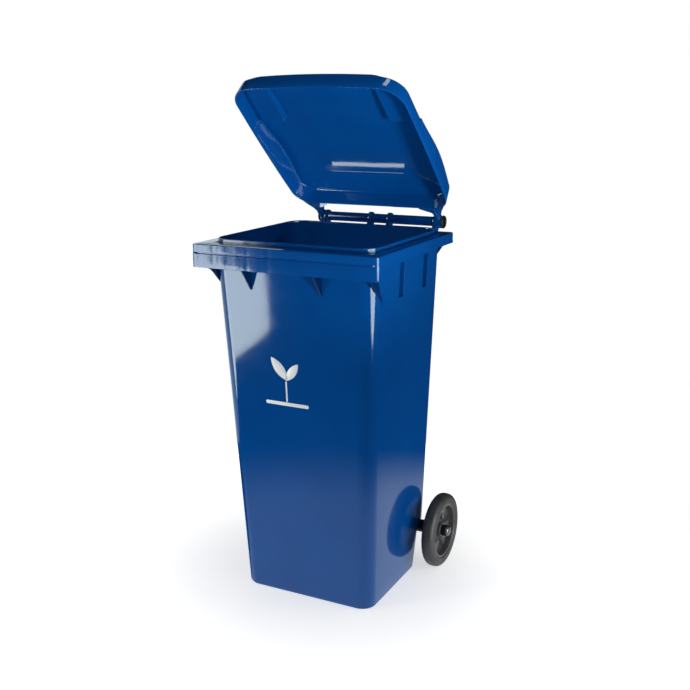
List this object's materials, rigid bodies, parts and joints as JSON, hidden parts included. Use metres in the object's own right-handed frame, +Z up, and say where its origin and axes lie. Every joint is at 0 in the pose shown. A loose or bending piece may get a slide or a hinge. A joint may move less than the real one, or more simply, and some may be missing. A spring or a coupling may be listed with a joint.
{
  "type": "wheelie bin",
  "caption": "Tall tapered plastic waste bin with a hinged domed lid, a front comb lip, a rear handle bar and wheels on a steel axle.",
  "frame": {"origin": "on the ground under the middle of the tub's base", "axes": "+Z up, the front face towards -Y, the handle and wheels towards +Y, +X to the right seen from the front"},
  "size_m": [0.529, 0.554, 1.2877],
  "materials": {
    "blue_plastic": "glossy moulded polyethylene",
    "black_plastic": "matte",
    "rim_plastic": "satin",
    "tyre_rubber": "matte",
    "axle_steel": "zinc plated",
    "bright_cap": "bright zinc plated",
    "mark_paint": "white print on the tub's front"
  },
  "bodies": {
    "root": {"tub": "blue_plastic", "hinge_pin_left": "black_plastic", "hinge_pin_right": "black_plastic", "axle": "axle_steel", "axle_spacer_left": "black_plastic", "axle_spacer_right": "black_plastic", "hub_washer_left": "axle_steel", "hub_washer_right": "axle_steel", "axle_cap_left": "bright_cap", "axle_cap_right": "bright_cap"},
    "lid": {"lid": "blue_plastic"},
    "wheel_left": {"wheel_rim_left": "rim_plastic", "tyre_left": "tyre_rubber", "hub_bush_left": "black_plastic"},
    "wheel_right": {"wheel_rim_right": "rim_plastic", "tyre_right": "tyre_rubber", "hub_bush_right": "black_plastic"}
  },
  "joints": [
    {"name": "lid_hinge", "type": "hinge", "parent": "root", "child": "lid", "pos_m": [0, 0.28, 0.92], "axis": [-1, 0, 0], "range_deg": [-41.5, 228.5]},
    {"name": "wheel_left_spin", "type": "hinge", "parent": "root", "child": "wheel_left", "pos_m": [-0.234, 0.169, 0.1], "axis": [1, 0, 0], "continuous": true},
    {"name": "wheel_right_spin", "type": "hinge", "parent": "root", "child": "wheel_right", "pos_m": [0.234, 0.169, 0.1], "axis": [1, 0, 0], "continuous": true}
  ]
}
